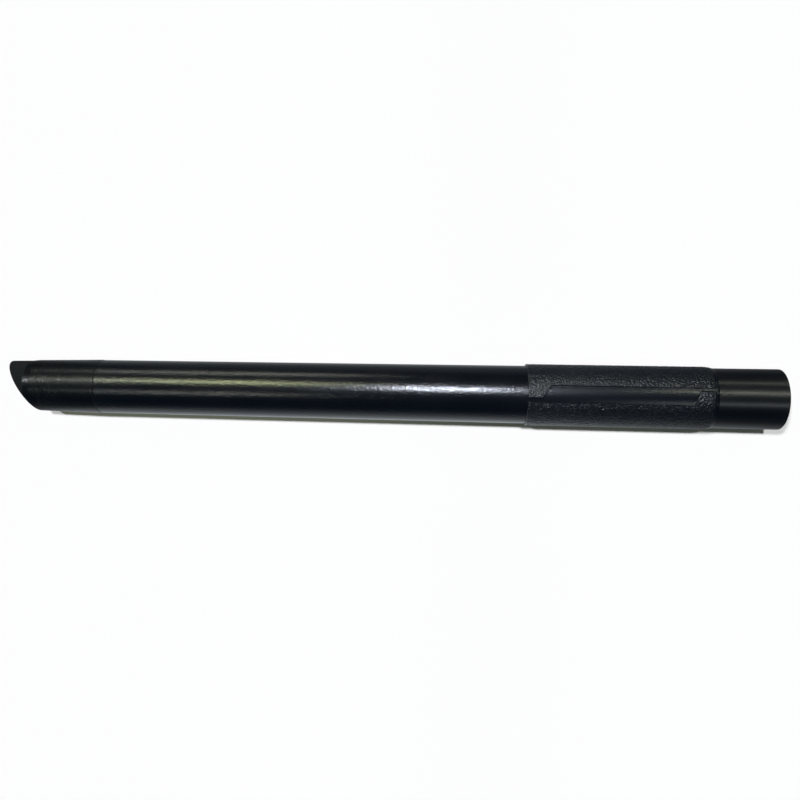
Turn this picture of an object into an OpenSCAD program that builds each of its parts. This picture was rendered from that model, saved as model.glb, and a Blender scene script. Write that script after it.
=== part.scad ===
// Straight extension wand of a vacuum cleaner: a drafted tube that ends in a cuff with a socket,
// a slash-cut tapered tip bonded into its narrow end, and a grained grip sleeve with a plain panel.
// It lies at rest on z = 0 with its tip towards -X, on the rims of the tip fitting and the grip.

/* [Tube and cuff] */
// Length of the wand, from the point of the slash to the mouth of the cuff
wand_l = 500; // [460:1:620]
// Outside diameter of the tube at its narrow end
tube_d = 34.6; // [34:0.1:35]
// Outside diameter of the cuff at its mouth
cuff_d = 39.4; // [39:0.1:40.4]
// Rounding of the cuff's outer edge
cuff_round = 0.8; // [0.5:0.1:1.3]
// Diameter of the airway just behind the tip fitting
airway_d = 28.9; // [28.4:0.1:29.2]

/* [Socket in the cuff] */
// Diameter of the socket
socket_d = 35.2; // [35.1:0.05:35.4]
// Depth of the socket, from the mouth to the stop
socket_l = 44; // [35:1:60]
// Diameter of the airway at the stop
stop_d = 33.6; // [32.8:0.1:34.2]
// Width of the lead-in chamfer at the mouth
lead_in = 0.5; // [0.2:0.1:0.6]

/* [Tip fitting] */
// Length of the fitting ahead of the tube, from the point of the slash
tip_l = 59.5; // [50:0.5:70]
// Angle of the slash, from square to the axis
slash_angle = 30; // [5:1:34]
// Outside diameter of the nose at its front
nose_d = 31.4; // [31:0.1:32]
// Length of the nose, ahead of its sloped shoulder
nose_l = 13.3; // [8:0.1:15]
// Length of the sloped shoulder
shoulder_l = 4.5; // [2:0.1:6]
// Height of the sloped shoulder
shoulder_h = 0.45; // [0.2:0.05:0.6]
// Largest outside diameter of the fitting's taper
taper_d = 35; // [34.8:0.05:35.1]
// Chamfer at the rear edge of the taper
rear_chamfer = 0.4; // [0.1:0.1:0.8]
// Bore of the fitting at the nose
nose_bore_d = 27.8; // [27:0.1:28.4]
// Bore of the fitting at the end of its spigot
spigot_bore_d = 27.2; // [26.6:0.1:27.6]
// Outside diameter of the spigot inside the tube
spigot_d = 30.4; // [30:0.1:30.8]
// Length of the spigot
spigot_l = 24; // [15:1:40]
// Lead-in chamfer of the spigot
spigot_chamfer = 0.7; // [0.3:0.1:1]

/* [Grip sleeve] */
// Length of the cuff that shows beyond the grip
cuff_l = 44.6; // [35:0.1:60]
// Length of the grip
grip_l = 120; // [110:0.1:160]
// Outside diameter of the grip at the end nearer the tip
grip_d = 40; // [39.4:0.1:40.6]
// Outside diameter of the grip where its rounded shoulder begins
grip_cuff_d = 40.9; // [40.6:0.1:42]
// Chamfer of the edge nearer the tip
grip_chamfer = 0.3; // [0.1:0.1:0.6]
// Length of the rounded shoulder that runs out on the cuff
runout_l = 5.9; // [4:0.1:8]
// Height of the step that the shoulder leaves on the cuff
runout_step = 0.2; // [0.1:0.05:0.4]

/* [Plain panel in the grip] */
// Depth of the panel below the grip's surface
panel_depth = 0.5; // [0.3:0.05:0.6]
// Distance from the grip's tip end to the panel's upper corner
panel_start = 15.1; // [10:0.1:25]
// Distance from the grip's cuff end to the panel's upper corner
panel_end = 11.9; // [8:0.1:25]
// Upper edge of the panel, above the wand's middle line
panel_top = 5.6; // [4:0.1:8]
// Lower edge of the panel, below the wand's middle line
panel_bottom = 5.4; // [4:0.1:8]
// How far the slanted end nearer the tip leans back
slant_tip = 6; // [1:0.1:9]
// How far the slanted end nearer the cuff leans back
slant_cuff = 3.5; // [1:0.1:9]
// Width of the groove that leaves the panel towards the tip
groove_tip_w = 2.8; // [1:0.1:4]
// Width of the groove that leaves the panel towards the cuff
groove_cuff_w = 1.9; // [1:0.1:4]

/* [Hidden] */
$fn = 96;

tube_colour = [0.055, 0.058, 0.062];
tip_colour = [0.075, 0.079, 0.083];
grip_colour = [0.045, 0.047, 0.052];

// Stations are measured along the axis from the point of the slash
spigot_end = tip_l + spigot_l;
socket_stop = wand_l - socket_l;
grip_end = wand_l - cuff_l;
grip_start = grip_end - grip_l;
runout_start = grip_end - runout_l;

// Outside radius of the tube at a station, along its one straight draft
draft = (cuff_d - tube_d) / 2 / (wand_l - tip_l);
function tube_r(station) = tube_d / 2 + draft * (station - tip_l);

// Outside radius of the grip at a station, and the arc that rounds its shoulder
grip_draft = (grip_cuff_d - grip_d) / 2 / (runout_start - grip_start);
function grip_r(station) = grip_d / 2 + grip_draft * (station - grip_start);
runout_drop = grip_cuff_d / 2 - tube_r(grip_end) - runout_step;
runout_r = (runout_l * runout_l + runout_drop * runout_drop) / (2 * runout_drop);

// At rest the rim of the tip fitting and the rim of the grip both touch z = 0
tip_rim = tip_l - rear_chamfer;
grip_rim = grip_start + grip_chamfer;
lean = atan2(grip_r(grip_rim) - taper_d / 2, grip_rim - tip_rim);
lift = taper_d / 2 * cos(lean) - tip_rim * sin(lean);
reach = wand_l * cos(lean) + (cuff_d / 2 - cuff_round) * sin(lean);

// Angles from the underside at which the turned faces begin, so that no seam lies on a resting line
seam = 2;
tip_seam = 0.9;

// Amount by which a cutter runs past the face that it cuts
past = 1;

// Lays a shape that was built along +X from the slash's point at its place of rest
module at_rest() {
    translate([-reach / 2, 0, lift])
        rotate([0, -lean, 0])
            children();
}

// Turns a profile of [radius, station] points about the axis
module turned(start = seam) {
    rotate([0, 90, 0])
        rotate([0, 0, start])
            rotate_extrude()
                children();
}

// Profile of the cuff's mouth, with its outer edge rounded
module cuff_edge() {
    edge_r = tube_r(wand_l) - cuff_round;
    edge_s = wand_l - cuff_round;
    union() {
        polygon([
            [socket_d / 2 - past, tip_l],
            [tube_r(tip_l), tip_l],
            [tube_r(edge_s), edge_s],
            [socket_d / 2 - past, edge_s]
        ]);
        polygon([
            [socket_d / 2 - past, edge_s - past],
            [edge_r, edge_s - past],
            [edge_r, wand_l],
            [socket_d / 2 - past, wand_l]
        ]);
        translate([edge_r, edge_s])
            circle(cuff_round);
    }
}

// Profile of everything inside the tube: spigot seat, airway, socket and lead-in
module tube_inside() {
    polygon([
        [0, tip_l - past],
        [spigot_d / 2, tip_l - past],
        [spigot_d / 2, spigot_end],
        [airway_d / 2, spigot_end],
        [stop_d / 2, socket_stop],
        [socket_d / 2, socket_stop],
        [socket_d / 2, wand_l - lead_in],
        [socket_d / 2 + lead_in + past, wand_l + past],
        [0, wand_l + past]
    ]);
}

module tube() {
    color(tube_colour)
        at_rest()
            turned()
                difference() {
                    union() {
                        cuff_edge();
                        polygon([
                            [airway_d / 2 - past, tip_l],
                            [tube_r(tip_l), tip_l],
                            [tube_r(socket_stop), socket_stop],
                            [airway_d / 2 - past, socket_stop]
                        ]);
                    }
                    tube_inside();
                }
}

// Everything ahead of the slash plane, which stands upright through the tip's point
module slash() {
    translate([0, nose_d / 2, 0])
        rotate([0, 0, slash_angle])
            translate([-wand_l, -wand_l / 2, -wand_l / 2])
                cube(wand_l);
}

module tip_fitting() {
    shoulder_end = nose_l + shoulder_l;
    taper = (taper_d - nose_d - 2 * shoulder_h) / 2 / (tip_rim - shoulder_l);
    nose_end_r = nose_d / 2 + taper * nose_l;
    color(tip_colour)
        at_rest()
            difference() {
                turned(tip_seam)
                    polygon([
                        [nose_bore_d / 2, 0],
                        [nose_d / 2, 0],
                        [nose_end_r, nose_l],
                        [nose_end_r + shoulder_h, shoulder_end],
                        [taper_d / 2, tip_rim],
                        [taper_d / 2 - rear_chamfer, tip_l],
                        [spigot_d / 2, tip_l],
                        [spigot_d / 2, spigot_end - spigot_chamfer],
                        [spigot_d / 2 - spigot_chamfer, spigot_end],
                        [spigot_bore_d / 2, spigot_end]
                    ]);
                slash();
            }
}

// Profile of the sleeve: it fits the tube's draft inside, and an arc rounds its cuff end
module sleeve_profile() {
    difference() {
        union() {
            polygon([
                [0, grip_start],
                [grip_d / 2 - grip_chamfer, grip_start],
                [grip_r(grip_rim), grip_rim],
                [grip_cuff_d / 2, runout_start],
                [0, runout_start]
            ]);
            intersection() {
                translate([grip_cuff_d / 2 - runout_r, runout_start])
                    circle(runout_r);
                translate([0, runout_start - past])
                    square([grip_cuff_d / 2, runout_l + past]);
            }
        }
        polygon([
            [-past, grip_start - past],
            [tube_r(grip_start - past), grip_start - past],
            [tube_r(grip_end + past), grip_end + past],
            [-past, grip_end + past]
        ]);
    }
}

// Outline of the panel from above, with a groove that leaves it at each end
module panel_outline() {
    tip_corner = grip_start + panel_start;
    cuff_corner = grip_end - panel_end;
    polygon([
        [grip_start - past, -panel_bottom],
        [cuff_corner - slant_cuff, -panel_bottom],
        [cuff_corner, panel_top - groove_cuff_w],
        [grip_end + past, panel_top - groove_cuff_w],
        [grip_end + past, panel_top],
        [tip_corner, panel_top],
        [tip_corner - slant_tip, groove_tip_w - panel_bottom],
        [grip_start - past, groove_tip_w - panel_bottom]
    ]);
}

// The panel's recess, whose floor keeps one depth below the grip's surface
module panel_recess() {
    difference() {
        linear_extrude(grip_cuff_d)
            panel_outline();
        turned()
            polygon([
                [0, grip_start - 2 * past],
                [grip_r(grip_start - 2 * past) - panel_depth, grip_start - 2 * past],
                [grip_r(grip_end + 2 * past) - panel_depth, grip_end + 2 * past],
                [0, grip_end + 2 * past]
            ]);
    }
}

module grip_sleeve() {
    color(grip_colour)
        at_rest()
            difference() {
                turned()
                    sleeve_profile();
                panel_recess();
            }
}

tube();
tip_fitting();
grip_sleeve();
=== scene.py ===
import math

import bpy
import numpy as np
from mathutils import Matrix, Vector


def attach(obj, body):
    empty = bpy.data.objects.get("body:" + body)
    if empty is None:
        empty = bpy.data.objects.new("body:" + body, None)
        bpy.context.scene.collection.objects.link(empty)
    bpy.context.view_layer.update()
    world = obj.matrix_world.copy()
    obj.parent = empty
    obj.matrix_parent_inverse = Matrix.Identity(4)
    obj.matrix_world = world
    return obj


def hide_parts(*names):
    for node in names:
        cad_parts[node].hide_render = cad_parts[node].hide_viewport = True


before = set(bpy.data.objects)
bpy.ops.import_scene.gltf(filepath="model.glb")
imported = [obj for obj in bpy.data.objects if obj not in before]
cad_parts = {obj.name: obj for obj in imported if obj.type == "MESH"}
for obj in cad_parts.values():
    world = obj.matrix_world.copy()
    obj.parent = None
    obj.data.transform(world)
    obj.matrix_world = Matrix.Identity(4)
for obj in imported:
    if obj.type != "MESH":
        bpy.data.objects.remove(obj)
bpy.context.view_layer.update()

MM = 0.001

# Sizes of the wand in millimetres; stations run along its axis from the point of the slash
WAND_L = 500.0
TIP_L = 59.5
TIP_RIM = 59.1
SPIGOT_END = 83.5
NOSE_L = 13.3
SHOULDER_END = 17.8
SOCKET_STOP = 456.0
GRIP_START = 335.4
GRIP_RIM = 335.7
RUNOUT_START = 449.5
GRIP_END = 455.4

NOSE_R = 15.7
SHOULDER_H = 0.45
TAPER_R = 17.5
SPIGOT_R = 15.2
TUBE_R = 17.3
CUFF_R = 19.7
CUFF_ROUND = 0.8
SOCKET_R = 17.6
STOP_R = 16.8
AIRWAY_R = 14.45
NOSE_BORE_R = 13.9
SPIGOT_BORE_R = 13.6
GRIP_R = 20.0
GRIP_CUFF_R = 20.45
RUNOUT_STEP = 0.2
SLASH = math.tan(math.radians(30))

# The panel's outline from above: heights of its edges beside the middle line, and stations of its corners
PANEL_TOP = 5.6
PANEL_BOTTOM = -5.4
PANEL_DEPTH = 0.5
TIP_GROOVE_TOP = -2.6
CUFF_GROOVE_BOTTOM = 3.7
TIP_CORNERS = (344.5, 350.5)
CUFF_CORNERS = (440.0, 443.5)


def tube_r(station):
    """Outside radius of the tube, along its one straight draft."""
    return TUBE_R + (CUFF_R - TUBE_R) / (WAND_L - TIP_L) * (station - TIP_L)


def grip_r(station):
    """Outside radius of the grip's tapered surface."""
    return GRIP_R + (GRIP_CUFF_R - GRIP_R) / (RUNOUT_START - GRIP_START) * (station - GRIP_START)


# The wand rests on the rims of its tip fitting and its grip, so its axis rises towards the cuff
LEAN = math.atan2(grip_r(GRIP_RIM) - TAPER_R, GRIP_RIM - TIP_RIM)
LIFT = TAPER_R * math.cos(LEAN) - TIP_RIM * math.sin(LEAN)
REACH = WAND_L * math.cos(LEAN) + (CUFF_R - CUFF_ROUND) * math.sin(LEAN)


def at_rest(points):
    """Puts (station, side, up) points in millimetres where the wand lies, in metres."""
    station, side, up = points[..., 0], points[..., 1], points[..., 2]
    x = station * math.cos(LEAN) - up * math.sin(LEAN) - REACH / 2
    z = station * math.sin(LEAN) + up * math.cos(LEAN) + LIFT
    return np.stack([x, side, z], -1) * MM


def row_x(station):
    """Where a station of the axis lies along X, in metres."""
    return (station * math.cos(LEAN) - REACH / 2) * MM


# Meshes

def closed_shell(name, rings):
    """A mesh of quads over rings of points, closed along the rings and from the last to the first."""
    rows, around = rings.shape[:2]
    here = np.arange(rows * around).reshape(rows, around)
    ahead = np.roll(here, -1, 0)
    quads = np.stack([here, ahead, np.roll(ahead, -1, 1), np.roll(here, -1, 1)], -1).reshape(-1, 4)
    points = at_rest(rings).reshape(-1, 3)
    a, b, c, d = (points[quads[:, k]] for k in range(4))
    volume = (np.cross(a, b) * c).sum() + (np.cross(a, c) * d).sum()
    if volume < 0:
        quads = quads[:, ::-1]
    mesh = bpy.data.meshes.new(name)
    mesh.from_pydata(points.tolist(), [], quads.tolist())
    mesh.shade_smooth()
    mesh.set_sharp_from_angle(angle=math.radians(32))
    piece = bpy.data.objects.new(name, mesh)
    bpy.context.scene.collection.objects.link(piece)
    return piece


def mark(piece, name, values):
    """Keeps one number for each point of a piece, for its finish to read."""
    layer = piece.data.attributes.new(name, "FLOAT", "POINT")
    layer.data.foreach_set("value", np.ascontiguousarray(values, dtype=np.float32).ravel())


def eased(corners, spacing, ease_steps=6, support=0.3):
    """A closed outline of (station, radius) points through corners of (station, radius, ease)."""
    count = len(corners)
    spots = [np.array(corner[:2], float) for corner in corners]
    outline = []
    for k in range(count):
        before, here, after = spots[k - 1], spots[k], spots[(k + 1) % count]
        back = (before - here) / np.linalg.norm(before - here)
        onward = (after - here) / np.linalg.norm(after - here)
        ease, next_ease = corners[k][2], corners[(k + 1) % count][2]
        for t in np.linspace(0, 1, ease_steps):
            outline.append(here + back * ease * (1 - t) ** 2 + onward * ease * t ** 2)
        start = here + onward * ease
        run = np.linalg.norm(after - here) - ease - next_ease
        steps = max(int(run / spacing), 1)
        stops = set(np.linspace(0, run, steps + 1)[1:-1])
        if run > 4 * support:
            stops |= {support, run - support}
        outline += [start + onward * stop for stop in sorted(stops)]
    return np.array(outline)


def turned(outline, around):
    """Rings of points that turn an outline about the axis."""
    angle = np.linspace(0, 2 * math.pi, around, endpoint=False)
    station = np.repeat(outline[:, :1], around, 1)
    side = outline[:, 1:] * np.cos(angle)
    up = outline[:, 1:] * np.sin(angle)
    return np.stack([station, side, up], -1)


def nearness(values, spot, reach):
    """1 at a spot, falling to 0 at a reach from it."""
    return np.clip(1 - np.abs(values - spot) / reach, 0, 1)


# The tube, with the cuff and its socket

TUBE_OUTLINE = [
    (TIP_L, TUBE_R, 0.3),
    (WAND_L, CUFF_R, CUFF_ROUND),
    (WAND_L, SOCKET_R + 0.5, 0.12),
    (WAND_L - 0.5, SOCKET_R, 0.12),
    (SOCKET_STOP, SOCKET_R, 0.2),
    (SOCKET_STOP, STOP_R, 0.2),
    (SPIGOT_END, AIRWAY_R, 0.15),
    (SPIGOT_END, SPIGOT_R, 0.1),
    (TIP_L, SPIGOT_R, 0.1),
]


def make_tube():
    outline = eased(TUBE_OUTLINE, 7.0)
    piece = closed_shell("drafted_tube_with_cuff", turned(outline, 288))
    station, radius = outline[:, 0], outline[:, 1]
    outside = radius > tube_r(station) - CUFF_ROUND
    wear = outside * (0.4 * nearness(station, WAND_L, 1.6) + 0.3 * nearness(station, TIP_L, 0.8))
    mark(piece, "edge_wear", np.repeat(wear, 288))
    return piece


# The tip fitting, with its slash, shoulder and spigot

TIP_OUTLINE = [
    (0.0, NOSE_R, 0.0),
    (NOSE_L, NOSE_R + 0.33, 0.5),
    (SHOULDER_END, NOSE_R + 0.33 + SHOULDER_H, 0.6),
    (TIP_RIM, TAPER_R, 0.08),
    (TIP_L, TAPER_R - 0.4, 0.05),
    (TIP_L, SPIGOT_R, 0.05),
    (SPIGOT_END - 0.7, SPIGOT_R, 0.1),
    (SPIGOT_END, SPIGOT_R - 0.7, 0.1),
    (SPIGOT_END, SPIGOT_BORE_R, 0.1),
    (0.0, NOSE_BORE_R, 0.0),
]


def slash_station(radius, side_share):
    """Station of the slash's plane at a radius, where side_share is the side's share of the radius."""
    return (NOSE_R - radius * side_share) * SLASH


def make_tip_fitting():
    around = 288
    outline = eased(TIP_OUTLINE, 2.0)
    turn = int(np.argmax(outline[:, 0] > SPIGOT_END - 1e-6))
    outside = outline[:turn]
    ahead = outside[outside[:, 0] < TIP_RIM]
    bore = outline[turn:][outline[turn:, 1] < SPIGOT_BORE_R + 0.31]
    angle = np.linspace(0, 2 * math.pi, around, endpoint=False)
    share = np.cos(angle)
    lip, inner_lip = 0.7, 0.4

    edge = np.full(around, 9.0)
    for _ in range(12):
        edge = slash_station(np.interp(edge, ahead[:, 0], ahead[:, 1]), share)
    edge_r = np.interp(edge, ahead[:, 0], ahead[:, 1])
    inner = slash_station(NOSE_BORE_R, share)

    slope = np.hypot(share * SLASH, 1)
    rows = []
    wear = []

    def add(station, radius, worn):
        rows.append((np.broadcast_to(station, around), np.broadcast_to(radius, around)))
        wear.append(worn)

    for t in np.linspace(1, 0, 7):
        inward = lip * t ** 2 / slope
        add(edge + inward * share * SLASH + lip * (1 - t) ** 2, edge_r - inward, 0.15)
    for step, (station, radius) in enumerate(outside):
        clear = edge + lip + 0.06 * (step + 1)
        if station < SHOULDER_END + 4:
            moved = np.maximum(station, clear)
            add(moved, np.interp(moved, ahead[:, 0], ahead[:, 1]), 0.0)
        else:
            add(station, radius, 0.5 if abs(station - TIP_RIM) < 0.3 and radius > SPIGOT_R else 0.0)
    for step, (station, radius) in enumerate(bore):
        clear = inner + inner_lip + 0.05 * (len(bore) - step)
        if station < SHOULDER_END + 4:
            moved = np.maximum(station, clear)
            add(moved, np.interp(moved, bore[::-1, 0], bore[::-1, 1]), 0.0)
        else:
            add(station, radius, 0.0)
    for t in np.linspace(1, 0, 5):
        outward = inner_lip * (1 - t) ** 2 / slope
        add(inner - outward * share * SLASH + inner_lip * t ** 2, NOSE_BORE_R + outward, 0.6)

    station = np.array([row[0] for row in rows])
    radius = np.array([row[1] for row in rows])
    rings = np.stack([station, radius * np.cos(angle), radius * np.sin(angle)], -1)
    piece = closed_shell("slash_cut_tip", rings)
    mark(piece, "edge_wear", np.repeat(wear, around))
    return piece


# The grip sleeve, with its grain and its plain recessed panel

EDGE_LINES = (-0.4, -0.2, 0.0, 0.2, 0.4)

# Width of the slope at each edge of the panel
TOP_SLOPE = 0.8
BOTTOM_SLOPE = 0.5
END_SLOPE = 0.36


def grip_outside(station):
    """Radius of the grip before its panel is sunk: chamfer, tapered surface and rounded shoulder."""
    drop = GRIP_CUFF_R - tube_r(GRIP_END) - RUNOUT_STEP
    run = GRIP_END - RUNOUT_START
    arc_r = (run ** 2 + drop ** 2) / (2 * drop)
    along = np.clip(station - RUNOUT_START, 0, run)
    shoulder = GRIP_CUFF_R - arc_r + np.sqrt(arc_r ** 2 - along ** 2)
    chamfer = np.clip(GRIP_RIM - station, 0, None)
    return np.where(station > RUNOUT_START, shoulder, grip_r(station) - chamfer)


def slanted(side, low_side, high_side, low_station, high_station):
    """Station of a slanted end of the panel at a side, held at its two corners beyond them."""
    share = np.clip((side - low_side) / (high_side - low_side), 0, 1)
    return low_station + share * (high_station - low_station)


def tip_slant(side):
    return slanted(side, TIP_GROOVE_TOP, PANEL_TOP, *TIP_CORNERS)


def cuff_slant(side):
    return slanted(side, PANEL_BOTTOM, CUFF_GROOVE_BOTTOM, *CUFF_CORNERS)


def inside_panel(station, side, top=1.0, bottom=1.0, ends=1.0):
    """Distance inside the outline of the panel and its grooves, over the slope given for each edge."""
    side = np.broadcast_to(side, station.shape)
    tip_lean = math.cos(math.atan2(TIP_CORNERS[1] - TIP_CORNERS[0], PANEL_TOP - TIP_GROOVE_TOP))
    cuff_lean = math.cos(math.atan2(CUFF_CORNERS[1] - CUFF_CORNERS[0], CUFF_GROOVE_BOTTOM - PANEL_BOTTOM))
    below_top = (PANEL_TOP - side) / top
    above_bottom = (side - PANEL_BOTTOM) / bottom
    past_tip = (station - tip_slant(side)) * tip_lean / ends
    before_cuff = (cuff_slant(side) - station) * cuff_lean / ends
    body = np.minimum.reduce([below_top, above_bottom, past_tip, before_cuff])
    towards_tip = (TIP_CORNERS[1] - station) / ends
    tip_groove = np.minimum.reduce([(TIP_GROOVE_TOP - side) / top, above_bottom, towards_tip])
    towards_cuff = (station - CUFF_CORNERS[0]) / ends
    cuff_groove = np.minimum.reduce([below_top, (side - CUFF_GROOVE_BOTTOM) / bottom, towards_cuff])
    return np.maximum(body, np.maximum(tip_groove, cuff_groove))


def spread(low, high, spacing, special):
    """Numbers from low to high at a spacing, with groups of close ones at each special number."""
    groups = [spot + line for spot in special for line in EDGE_LINES]
    even = np.linspace(low, high, int((high - low) / spacing) + 1)
    free = [value for value in even if min(abs(value - spot) for spot in special) > 0.52]
    return np.array(sorted(free + groups))


def make_grip_sleeve():
    side_lines = spread(-6.2, 6.4, 0.42, (PANEL_BOTTOM, TIP_GROOVE_TOP, CUFF_GROOVE_BOTTOM, PANEL_TOP))
    round_lines = 270
    nominal_tip = sum(TIP_CORNERS) / 2
    nominal_cuff = sum(CUFF_CORNERS) / 2
    columns = spread(GRIP_RIM + 0.2, GRIP_END - 0.04, 0.43, (nominal_tip, nominal_cuff))
    columns = np.concatenate([[GRIP_START, GRIP_START + 0.1, GRIP_START + 0.2, GRIP_RIM], columns, [GRIP_END]])

    side = np.concatenate([side_lines, np.full(round_lines, np.nan)])
    beyond = np.concatenate([np.full(len(side_lines), np.nan), np.arange(1, round_lines + 1) / (round_lines + 1)])
    over_top = np.isnan(beyond)
    held = np.where(over_top, side, np.where(beyond < 0.5, side_lines[-1], side_lines[0]))
    ease_back = np.where(over_top, 1.0, np.clip(1 - np.minimum(beyond, 1 - beyond) * 6, 0, 1))
    tip_at = nominal_tip + (tip_slant(held) - nominal_tip) * ease_back
    cuff_at = nominal_cuff + (cuff_slant(held) - nominal_cuff) * ease_back
    station = np.stack([
        np.interp(columns, [GRIP_RIM, nominal_tip, nominal_cuff, RUNOUT_START], [GRIP_RIM, t, c, RUNOUT_START])
        for t, c in zip(tip_at, cuff_at)], 1)
    station = np.where((columns < GRIP_RIM)[:, None] | (columns > RUNOUT_START)[:, None], columns[:, None], station)

    surface = grip_outside(station)
    low = np.arcsin(side_lines[0] / surface)
    high = np.arcsin(side_lines[-1] / surface)
    round_angle = high + np.nan_to_num(beyond) * (2 * math.pi + low - high)
    angle = np.where(over_top, np.arcsin(np.where(over_top, side, 0) / surface), round_angle)
    across = np.where(over_top, side, np.sign(0.5 - np.nan_to_num(beyond)) * 99)
    depth_in = inside_panel(station, across)
    sunk = np.clip(inside_panel(station, across, TOP_SLOPE, BOTTOM_SLOPE, END_SLOPE) + 0.5, 0, 1)
    sunk = sunk * sunk * (3 - 2 * sunk)
    radius = surface - sunk * np.clip(surface - (grip_r(station) - PANEL_DEPTH), 0, None)

    wall_stations = np.array([GRIP_END, 425.0, 395.0, 365.0, GRIP_START])
    wall_station = np.repeat(wall_stations[:, None], station.shape[1], 1)
    wall_angle = np.repeat(angle[-1:], len(wall_stations), 0)
    all_station = np.concatenate([station, wall_station])
    all_angle = np.concatenate([angle, wall_angle])
    all_radius = np.concatenate([radius, tube_r(wall_station)])
    rings = np.stack([all_station, all_radius * np.sin(all_angle), all_radius * np.cos(all_angle)], -1)
    piece = closed_shell("grip_sleeve_shell", rings)

    plain_edge = np.clip((453.6 - station) / 0.8, 0, 1) * np.clip((station - GRIP_RIM) / 0.8, 0, 1)
    grain = np.clip(-depth_in / 0.3 - 0.1, 0, 1) * plain_edge
    mark(piece, "grain", np.concatenate([grain, np.zeros(wall_station.shape)]))
    rim = nearness(station, GRIP_RIM - 0.1, 0.5) + 0.25 * nearness(depth_in, -0.15, 0.3)
    mark(piece, "edge_wear", np.concatenate([np.clip(rim, 0, 1), np.zeros(wall_station.shape)]))
    return piece


def grain_tree(material):
    """Geometry nodes that press a pebbled leather grain into a piece where its grain mark says."""
    tree = bpy.data.node_groups.new("leather_grain", "GeometryNodeTree")
    face = tree.interface
    face.new_socket("Geometry", in_out="INPUT", socket_type="NodeSocketGeometry")
    for label, value in (("Pebble size", 1.25 * MM), ("Grain depth", 0.2 * MM), ("Grain seed", 4.0)):
        socket = face.new_socket(label, in_out="INPUT", socket_type="NodeSocketFloat")
        socket.default_value = value
    face.new_socket("Geometry", in_out="OUTPUT", socket_type="NodeSocketGeometry")
    nodes, join = tree.nodes, tree.links.new
    entry = nodes.new("NodeGroupInput")
    leave = nodes.new("NodeGroupOutput")
    place = nodes.new("GeometryNodeInputPosition")
    scale = nodes.new("ShaderNodeMath")
    scale.operation = "DIVIDE"
    scale.inputs[0].default_value = 1.0
    join(entry.outputs["Pebble size"], scale.inputs[1])
    pebbles = nodes.new("ShaderNodeTexVoronoi")
    pebbles.feature = "SMOOTH_F1"
    pebbles.inputs["Smoothness"].default_value = 0.25
    moved = nodes.new("ShaderNodeVectorMath")
    join(place.outputs[0], moved.inputs[0])
    join(entry.outputs["Grain seed"], moved.inputs[1])
    join(moved.outputs[0], pebbles.inputs["Vector"])
    join(scale.outputs[0], pebbles.inputs["Scale"])
    spread_out = nodes.new("ShaderNodeMapRange")
    spread_out.inputs["From Max"].default_value = 0.7
    join(pebbles.outputs["Distance"], spread_out.inputs["Value"])
    valley = nodes.new("ShaderNodeMath")
    valley.operation = "POWER"
    valley.inputs[1].default_value = 2.0
    join(spread_out.outputs["Result"], valley.inputs[0])
    mask = nodes.new("GeometryNodeInputNamedAttribute")
    mask.data_type = "FLOAT"
    mask.inputs["Name"].default_value = "grain"
    depth = nodes.new("ShaderNodeMath")
    depth.operation = "MULTIPLY"
    join(valley.outputs[0], depth.inputs[0])
    join(mask.outputs["Attribute"], depth.inputs[1])
    inward = nodes.new("ShaderNodeMath")
    inward.operation = "MULTIPLY"
    join(depth.outputs[0], inward.inputs[0])
    join(entry.outputs["Grain depth"], inward.inputs[1])
    flip = nodes.new("ShaderNodeMath")
    flip.operation = "MULTIPLY"
    flip.inputs[1].default_value = -1.0
    join(inward.outputs[0], flip.inputs[0])
    normal = nodes.new("GeometryNodeInputNormal")
    offset = nodes.new("ShaderNodeVectorMath")
    offset.operation = "SCALE"
    join(normal.outputs[0], offset.inputs[0])
    join(flip.outputs[0], offset.inputs["Scale"])
    keep = nodes.new("GeometryNodeStoreNamedAttribute")
    keep.inputs["Name"].default_value = "valley"
    join(entry.outputs["Geometry"], keep.inputs["Geometry"])
    join(valley.outputs[0], keep.inputs["Value"])
    press = nodes.new("GeometryNodeSetPosition")
    join(keep.outputs["Geometry"], press.inputs["Geometry"])
    join(offset.outputs[0], press.inputs["Offset"])
    real = nodes.new("GeometryNodeRealizeInstances")
    join(press.outputs[0], real.inputs[0])
    finish = nodes.new("GeometryNodeSetMaterial")
    finish.inputs["Material"].default_value = material
    join(real.outputs[0], finish.inputs["Geometry"])
    join(finish.outputs[0], leave.inputs[0])
    return tree


def press_grain(shell, material, name):
    """Runs the grain's nodes on the shell and keeps the result as a plain mesh."""
    tree = grain_tree(material)
    press = shell.modifiers.new("grain", "NODES")
    press.node_group = tree
    for item in tree.interface.items_tree:
        if item.in_out == "INPUT" and item.socket_type == "NodeSocketFloat":
            press[item.identifier] = item.default_value
    graph = bpy.context.evaluated_depsgraph_get()
    mesh = bpy.data.meshes.new_from_object(shell.evaluated_get(graph))
    mesh.name = name
    piece = bpy.data.objects.new(name, mesh)
    bpy.context.scene.collection.objects.link(piece)
    bpy.data.objects.remove(shell)
    return piece


# Finishes

# Noise is looked up in space turned by these angles, so that its grid doesn't line up with the wand
OFF_GRID = (0.5, 0.6, 0.4)


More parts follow.
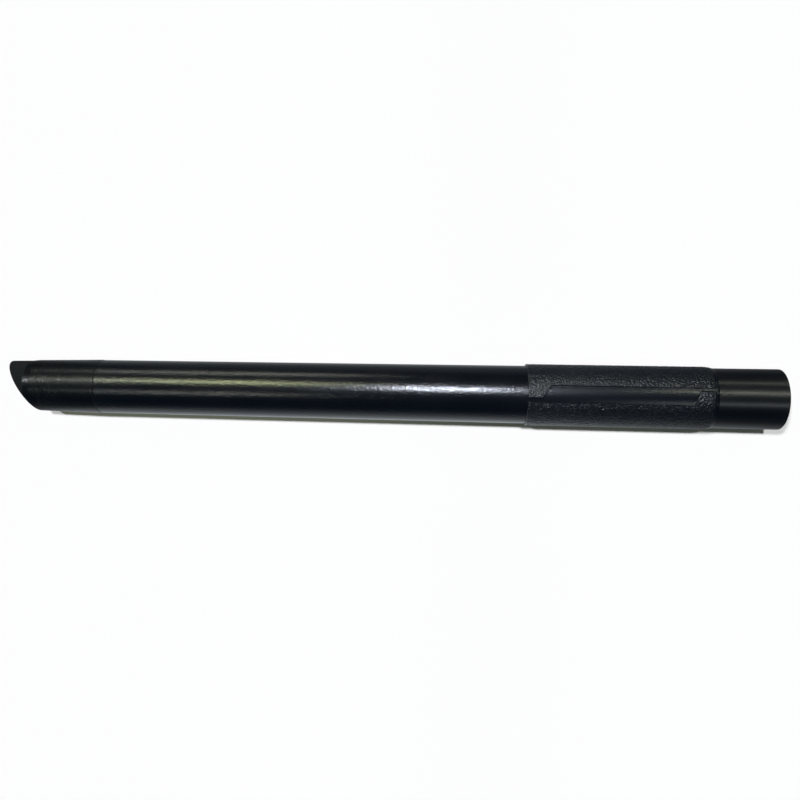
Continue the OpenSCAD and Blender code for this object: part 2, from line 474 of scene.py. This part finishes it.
class Finish:
    """A plastic's material, built up one node at a time."""

    def __init__(self, name):
        self.material = bpy.data.materials.new(name)
        self.material.use_nodes = True
        self.tree = self.material.node_tree
        self.shader = self.tree.nodes["Principled BSDF"]
        self.place = self.tree.nodes.new("ShaderNodeTexCoord").outputs["Object"]

    def set(self, socket, value):
        if isinstance(value, bpy.types.NodeSocket):
            self.tree.links.new(value, socket)
        else:
            socket.default_value = value

    def node(self, kind, inputs, output=0, **settings):
        node = self.tree.nodes.new("ShaderNode" + kind)
        for name, value in settings.items():
            setattr(node, name, value)
        for name, value in inputs.items():
            self.set(node.inputs[name], value)
        return node.outputs[output]

    def noise(self, size, detail=2.0, stretch=(1, 1, 1), rough=0.5):
        """Noise whose patches are about a size in millimetres, stretched along an axis."""
        scaled = self.node("Mapping", {"Vector": self.place, "Scale": stretch, "Rotation": OFF_GRID})
        return self.node("TexNoise", {"Vector": scaled, "Scale": 1 / (size * MM), "Detail": detail,
                                      "Roughness": rough})

    def cells(self, size, output="Distance", feature="F1"):
        """Cells about a size in millimetres across."""
        return self.node("TexVoronoi", {"Vector": self.place, "Scale": 1 / (size * MM)}, output,
                         feature=feature)

    def range(self, value, low, high, to_low=0.0, to_high=1.0):
        return self.node("MapRange", {"Value": value, "From Min": low, "From Max": high,
                                      "To Min": to_low, "To Max": to_high},
                         interpolation_type="SMOOTHSTEP")

    def math(self, operation, first, second):
        return self.node("Math", {0: first, 1: second}, operation=operation)

    def mix(self, share, first, second):
        node = self.tree.nodes.new("ShaderNodeMix")
        node.data_type = "RGBA"
        self.set(node.inputs["Factor"], share)
        self.set(node.inputs[6], first)
        self.set(node.inputs[7], second)
        return node.outputs[2]

    def marked(self, name):
        return self.node("Attribute", {}, "Fac", attribute_name=name)

    def along(self):
        return self.node("SeparateXYZ", {"Vector": self.place}, "X")

    def bump(self, height, strength, depth, before=None):
        inputs = {"Height": height, "Strength": strength, "Distance": depth * MM}
        if before:
            inputs["Normal"] = before
        return self.node("Bump", inputs, "Normal")

    def done(self, colour, roughness, normal, gloss=0.5):
        self.set(self.shader.inputs["Base Color"], colour)
        self.set(self.shader.inputs["Roughness"], roughness)
        self.set(self.shader.inputs["Normal"], normal)
        self.shader.inputs["IOR"].default_value = 1.55
        self.shader.inputs["Specular IOR Level"].default_value = gloss
        return self.material


def satin_tube_finish():
    """Satin black with a fine spark-eroded grain, smoother and glossier on the cuff beyond the grip."""
    f = Finish("satin_black_tube")
    cuff = f.range(f.along(), row_x(GRIP_END - 1), row_x(GRIP_END))
    patches = f.range(f.noise(26, 3), 0.35, 0.65)
    specks = f.range(f.noise(0.9, 1.0), 0.66, 0.76)
    wear = f.math("MULTIPLY", f.marked("edge_wear"), f.range(f.noise(1.6, 3), 0.4, 0.7))
    colour = f.mix(patches, (0.0021, 0.0038, 0.0074, 1), (0.0027, 0.0045, 0.0083, 1))
    colour = f.mix(f.math("MULTIPLY", cuff, 0.4), colour, (0.0014, 0.0023, 0.0044, 1))
    colour = f.mix(f.math("MULTIPLY", specks, 0.25), colour, (0.022, 0.024, 0.026, 1))
    colour = f.mix(f.math("MULTIPLY", wear, 0.6), colour, (0.06, 0.061, 0.06, 1))
    satin = f.range(patches, 0, 1, 0.212, 0.232)
    gloss = f.range(f.noise(5, 3, (0.3, 1, 1)), 0.3, 0.7, 0.28, 0.31)
    rough = f.node("Mix", {0: cuff, 2: satin, 3: gloss})
    rough = f.math("ADD", rough, f.math("MULTIPLY", wear, 0.15))
    fine = f.math("MULTIPLY", f.noise(1.15, 1.0), f.range(cuff, 0, 1, 1.0, 0.12))
    normal = f.bump(fine, 1.0, 0.14)
    return f.done(colour, rough, normal)


def smooth_tip_finish():
    """Semi-gloss black, dull on the nose that is pushed into tools, with fine rub marks round its middle."""
    f = Finish("semi_gloss_black_tip")
    nose = f.range(f.along(), row_x(NOSE_L + 0.6), row_x(NOSE_L - 0.4))
    wear = f.math("MULTIPLY", f.marked("edge_wear"), f.range(f.noise(1.4, 3), 0.35, 0.65))
    rubbed = f.math("MULTIPLY", f.range(f.along(), row_x(18), row_x(22)),
                    f.range(f.along(), row_x(42), row_x(34)))
    strokes = f.math("MULTIPLY", rubbed, f.range(f.noise(0.75, 2, (1, 0.16, 0.16)), 0.5, 0.66))
    dusty = f.range(f.noise(9, 4), 0.4, 0.7)
    colour = f.mix(dusty, (0.0018, 0.0031, 0.0056, 1), (0.0025, 0.0039, 0.0065, 1))
    colour = f.mix(f.math("MULTIPLY", strokes, 0.2), colour, (0.03, 0.031, 0.032, 1))
    colour = f.mix(f.math("MULTIPLY", wear, 0.3), colour, (0.05, 0.05, 0.05, 1))
    rough = f.range(f.noise(3.5, 4), 0.3, 0.7, 0.27, 0.31)
    rough = f.node("Mix", {0: nose, 2: rough, 3: 0.95})
    rings = f.node("TexWave", {"Vector": f.place, "Scale": 1 / (9 * MM), "Distortion": 0.4, "Detail": 1.0},
                   "Fac", bands_direction="X")
    height = f.math("ADD", f.math("MULTIPLY", rings, 0.02), f.math("MULTIPLY", f.noise(1.2, 1), 0.5))
    height = f.math("ADD", height, f.math("MULTIPLY", strokes, -0.3))
    normal = f.bump(height, 1.0, 0.1)
    return f.done(colour, rough, normal, 0.38)


def grained_grip_finish():
    """Black with a moulded leather grain: duller in the valleys, polished on the pebbles' crowns, plain in the panel;
    the crowns are also painted lighter, a painted highlight.
    """
    f = Finish("grained_black_grip")
    grain = f.marked("grain")
    valley = f.marked("valley")
    wear = f.math("MULTIPLY", f.marked("edge_wear"), f.range(f.noise(1.3, 3), 0.4, 0.7))
    patches = f.range(f.noise(14, 3), 0.35, 0.65)
    colour = f.mix(patches, (0.0024, 0.0043, 0.0092, 1), (0.0031, 0.0053, 0.0104, 1))
    # Painted highlight: the pebbles' crowns are lighter in colour than the valleys, which reads as painted shade in
    # the grain
    painted_highlight_on_tops = f.math("MULTIPLY", f.range(valley, 0.35, 0.0), grain)
    colour = f.mix(f.math("MULTIPLY", painted_highlight_on_tops, 0.25), colour, (0.016, 0.019, 0.024, 1))
    colour = f.mix(f.math("MULTIPLY", wear, 0.5), colour, (0.05, 0.051, 0.052, 1))
    rough = f.math("ADD", f.range(grain, 0, 1, 0.24, 0.28), f.math("MULTIPLY", f.math("MULTIPLY", valley, grain), 0.1))
    fine = f.math("MULTIPLY", f.noise(1.15, 1), f.range(grain, 0, 1, 0.1, 1.0))
    normal = f.bump(fine, 1.0, 0.8)
    return f.done(colour, rough, normal)


# Camera, lights and floor

def make_camera():
    data = bpy.data.cameras.new("camera")
    camera = bpy.data.objects.new("camera", data)
    bpy.context.scene.collection.objects.link(camera)
    data.sensor_width = 36.0
    data.lens = 36.0 * 790.9 / 800.0
    data.shift_x = -30.0 / 800.0
    data.clip_start, data.clip_end = 0.01, 20.0
    camera.location = Vector((23.7, -14.5, 536.1)) * MM
    camera.rotation_euler = (0.0189, 0.0, 0.01976)
    bpy.context.scene.camera = camera


def aim_at_wand(holder):
    """Lights the wand alone, so that the floor keeps the one thin shadow of its own lamp."""
    holder.light_linking.receiver_collection = lit_collection("lit_wand")


def lit_collection(name):
    found = bpy.data.collections.get(name)
    return found or bpy.data.collections.new(name)


def softbox(name, place, long, wide, power, colour=(1, 1, 1)):
    """A soft light whose long side runs along X, turned towards the wand."""
    light = bpy.data.lights.new(name, "AREA")
    light.shape = "RECTANGLE"
    light.size = long
    light.size_y = wide
    light.energy = power
    light.color = colour
    holder = bpy.data.objects.new(name, light)
    holder.location = place
    holder.rotation_euler = (-math.atan2(place[1], place[2]), 0, 0)
    holder.visible_camera = False
    aim_at_wand(holder)
    bpy.context.scene.collection.objects.link(holder)
    return holder


PALE = (0.97, 1.0, 0.84)
OLIVE = (0.93, 1.0, 0.58)
NEUTRAL = (0.94, 0.99, 1.0)
DAYLIGHT = (0.81, 0.87, 1.0)

# Strip lights beyond both ends of the wand: degrees from overhead towards +Y, distance, width,
# where each begins and ends along X, watts for a square metre of it, and its colour
STRIPS = {
    "tip_far": (65.0, 0.95, 0.07, -0.57, -0.15, 25, PALE),
    "tip_far_end": (65.0, 0.95, 0.07, -0.74, -0.57, 12.5, NEUTRAL),
    "tip_main": (25.0, 1.05, 0.08, -0.62, -0.23, 96, OLIVE),
    "tip_main_end": (25.0, 1.05, 0.08, -0.76, -0.62, 44, DAYLIGHT),
    "tip_near": (-21.5, 1.05, 0.05, -0.52, -0.31, 42, PALE),
    "tip_near_end": (-21.5, 1.05, 0.05, -0.78, -0.52, 17.5, NEUTRAL),
    "tip_shoulder": (22.0, 1.05, 0.08, -1.15, -1.01, 260, NEUTRAL),
    "cuff_far": (58.5, 0.95, 0.07, 0.40, 0.92, 12, PALE),
    "cuff_main": (20.0, 1.05, 0.08, 0.47, 0.92, 34, PALE),
    "cuff_near": (-22.5, 1.05, 0.08, 0.42, 0.92, 13.5, NEUTRAL),
}


def hang_strips():
    for name, (lean, away, wide, begin, end, strength, glow) in STRIPS.items():
        tilt = math.radians(lean)
        place = ((begin + end) / 2, away * math.sin(tilt), away * math.cos(tilt))
        long = end - begin
        softbox(f"strip_{name}", place, long, wide, strength * long * wide, glow)


def floor_lamp(name, power, sideways):
    """A distant lamp for the floor alone, leaning a little towards the near side and sideways along X."""
    lamp = bpy.data.lights.new(name, "SUN")
    lamp.energy = power
    lamp.angle = math.radians(4)
    holder = bpy.data.objects.new(name, lamp)
    holder.rotation_euler = (-math.radians(8), math.radians(sideways), 0)
    holder.light_linking.receiver_collection = lit_collection("lit_floor")
    bpy.context.scene.collection.objects.link(holder)


def make_lights():
    hang_strips()
    softbox("lamp_by_camera", (0.030, 0.135, 0.55), 0.05, 0.09, 1.6, DAYLIGHT)
    softbox("glint_by_camera", (0.030, 0.135, 0.551), 0.05, 0.09, 0.62, DAYLIGHT).visible_diffuse = False
    floor_lamp("floor_lamp", 1.745, 0)
    floor_lamp("floor_lamp_from_tip_side", 1.365, -24)


# The table as the wand reflects it, as painted shade: its grey at places across Y, and its share of that at places
# along X, in millimetres. The grey stands in for how the table was lit: darker towards the wand's ends, on its +Y side
# and far from it.
GREY_ACROSS = [(-400, 0.20), (-150, 0.42), (-90, 0.62), (-50, 0.88), (-25, 1.0),
               (25, 0.56), (50, 0.32), (75, 0.21), (400, 0.12)]
SHARE_ALONG = [(-600, 0.08), (-330, 0.12), (-290, 0.2), (-245, 0.28), (-215, 0.8), (-30, 0.97), (60, 1.0),
               (130, 0.8), (230, 0.45), (330, 0.13), (600, 0.08)]


def graded(f, place, grades, tint):
    """A colour that follows a list of (place in millimetres, strength) along an axis."""
    reach = max(abs(spot) for spot, strength in grades) * MM
    share = f.node("MapRange", {"Value": place, "From Min": -reach, "From Max": reach})
    ramp = f.tree.nodes.new("ShaderNodeValToRGB")
    f.tree.links.new(share, ramp.inputs["Fac"])
    stops = ramp.color_ramp.elements
    while len(stops) < len(grades):
        stops.new(0.5)
    for stop, (spot, strength) in zip(stops, grades):
        stop.position = (spot * MM + reach) / (2 * reach)
    for stop, (spot, strength) in zip(stops, grades):
        stop.color = (tint[0] * strength, tint[1] * strength, tint[2] * strength, 1)
    return ramp.outputs["Color"]


def make_plane(name, height):
    """A large level square, lit by the floor's lamps."""
    half = 12.0
    corners = [(-half, -half, height), (half, -half, height), (half, half, height), (-half, half, height)]
    mesh = bpy.data.meshes.new(name)
    mesh.from_pydata(corners, [], [(0, 1, 2, 3)])
    plane = bpy.data.objects.new(name, mesh)
    bpy.context.scene.collection.objects.link(plane)
    lit_collection("lit_floor").objects.link(plane)
    return plane


def make_grey_sheet():
    """A grey sheet over the floor that only reflections see; its grey is painted shade, paler close to the wand and at
    its tip end.
    """
    sheet = make_plane("grey_sheet", 0.4 * MM)
    f = Finish("grey_sheet")
    across = f.node("SeparateXYZ", {"Vector": f.place}, "Y")
    grey = graded(f, across, GREY_ACROSS, (0.88, 0.95, 1.0))
    share = graded(f, f.along(), SHARE_ALONG, (1, 1, 1))
    shade = f.mix(share, (0, 0, 0, 1), grey)
    f.set(f.shader.inputs["Base Color"], shade)
    f.shader.inputs["Roughness"].default_value = 1.0
    f.shader.inputs["Specular IOR Level"].default_value = 0.0
    sheet.data.materials.append(f.material)
    sheet.visible_camera = False
    sheet.visible_diffuse = False
    sheet.visible_shadow = False


# The pale walls reach up to the first height, and the ceiling is dark from the second, as sines
WALL_TOP = math.sin(math.radians(1))
DARK_FROM = math.sin(math.radians(9))


def make_world():
    """Pale to the camera. The wand sees dim walls, bluish in front and dimmer at its ends, and a dark ceiling."""
    world = bpy.data.worlds.new("studio")
    bpy.context.scene.world = world
    world.use_nodes = True
    tree = world.node_tree
    shade = tree.nodes["Background"]
    way = tree.nodes.new("ShaderNodeTexCoord")
    split = tree.nodes.new("ShaderNodeSeparateXYZ")
    tree.links.new(way.outputs["Generated"], split.inputs[0])

    def graded_along(axis, low, high, to_low, to_high):
        grade = tree.nodes.new("ShaderNodeMapRange")
        grade.interpolation_type = "SMOOTHSTEP"
        for name, value in (("From Min", low), ("From Max", high), ("To Min", to_low), ("To Max", to_high)):
            grade.inputs[name].default_value = value
        tree.links.new(axis, grade.inputs["Value"])
        return grade.outputs["Result"]

    def calculate(operation, first, second=None):
        node = tree.nodes.new("ShaderNodeMath")
        node.operation = operation
        tree.links.new(first, node.inputs[0])
        if second:
            tree.links.new(second, node.inputs[1])
        return node.outputs[0]

    walls = graded_along(split.outputs["Z"], WALL_TOP, DARK_FROM, 0.16, 0.022)
    ends = graded_along(calculate("ABSOLUTE", split.outputs["X"]), 0.5, 0.8, 1.0, 0.25)
    seen = tree.nodes.new("ShaderNodeLightPath").outputs["Is Camera Ray"]
    strength = calculate("MAXIMUM", calculate("MULTIPLY", walls, ends), seen)
    tree.links.new(strength, shade.inputs["Strength"])
    tint = tree.nodes.new("ShaderNodeMix")
    tint.data_type = "RGBA"
    tint.inputs[6].default_value = (0.72, 1.12, 1.6, 1)
    tint.inputs[7].default_value = (0.98, 0.94, 0.84, 1)
    tree.links.new(graded_along(split.outputs["Y"], -0.5, 0.5, 0.0, 1.0), tint.inputs[0])
    backdrop = tree.nodes.new("ShaderNodeMix")
    backdrop.data_type = "RGBA"
    backdrop.inputs[7].default_value = (0.93, 0.93, 0.94, 1)
    tree.links.new(seen, backdrop.inputs[0])
    tree.links.new(tint.outputs[2], backdrop.inputs[6])
    tree.links.new(backdrop.outputs[2], shade.inputs["Color"])


def make_floor():
    floor = make_plane("paper_floor", 0.0)
    paper = Finish("white_paper")
    # The paper glows a little in olive, a painted fill light that lifts the wand's shadow, strongest at the tip end
    # and fading towards the cuff; the paper's own colour is darker where the glow is stronger, so that the lit paper
    # stays evenly white
    far = paper.range(paper.along(), -0.16, 0.17)
    colour = paper.mix(far, (0.923, 0.915, 0.953, 1), (0.985, 0.982, 0.997, 1))
    paper.set(paper.shader.inputs["Base Color"], colour)
    paper.shader.inputs["Roughness"].default_value = 1.0
    paper.shader.inputs["Specular IOR Level"].default_value = 0.0
    paper.shader.inputs["Emission Color"].default_value = (0.93, 1.0, 0.67, 1)
    paper.set(paper.shader.inputs["Emission Strength"], paper.range(far, 0, 1, 0.105, 0.043))
    floor.data.materials.append(paper.material)


# The wand

def dress(piece, material, node):
    """Gives a piece its finish and puts it in its CAD node's place."""
    if material.name not in piece.data.materials:
        piece.data.materials.append(material)
    lit_collection("lit_wand").objects.link(piece)
    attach(piece, "root")
    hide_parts(node)


make_camera()
make_lights()
make_grey_sheet()
make_world()
make_floor()

dress(make_tube(), satin_tube_finish(), "tube")
dress(make_tip_fitting(), smooth_tip_finish(), "tip_fitting")
grip_finish = grained_grip_finish()
dress(press_grain(make_grip_sleeve(), grip_finish, "grained_grip"), grip_finish, "grip_sleeve")

bpy.context.scene.view_settings.view_transform = "Standard"
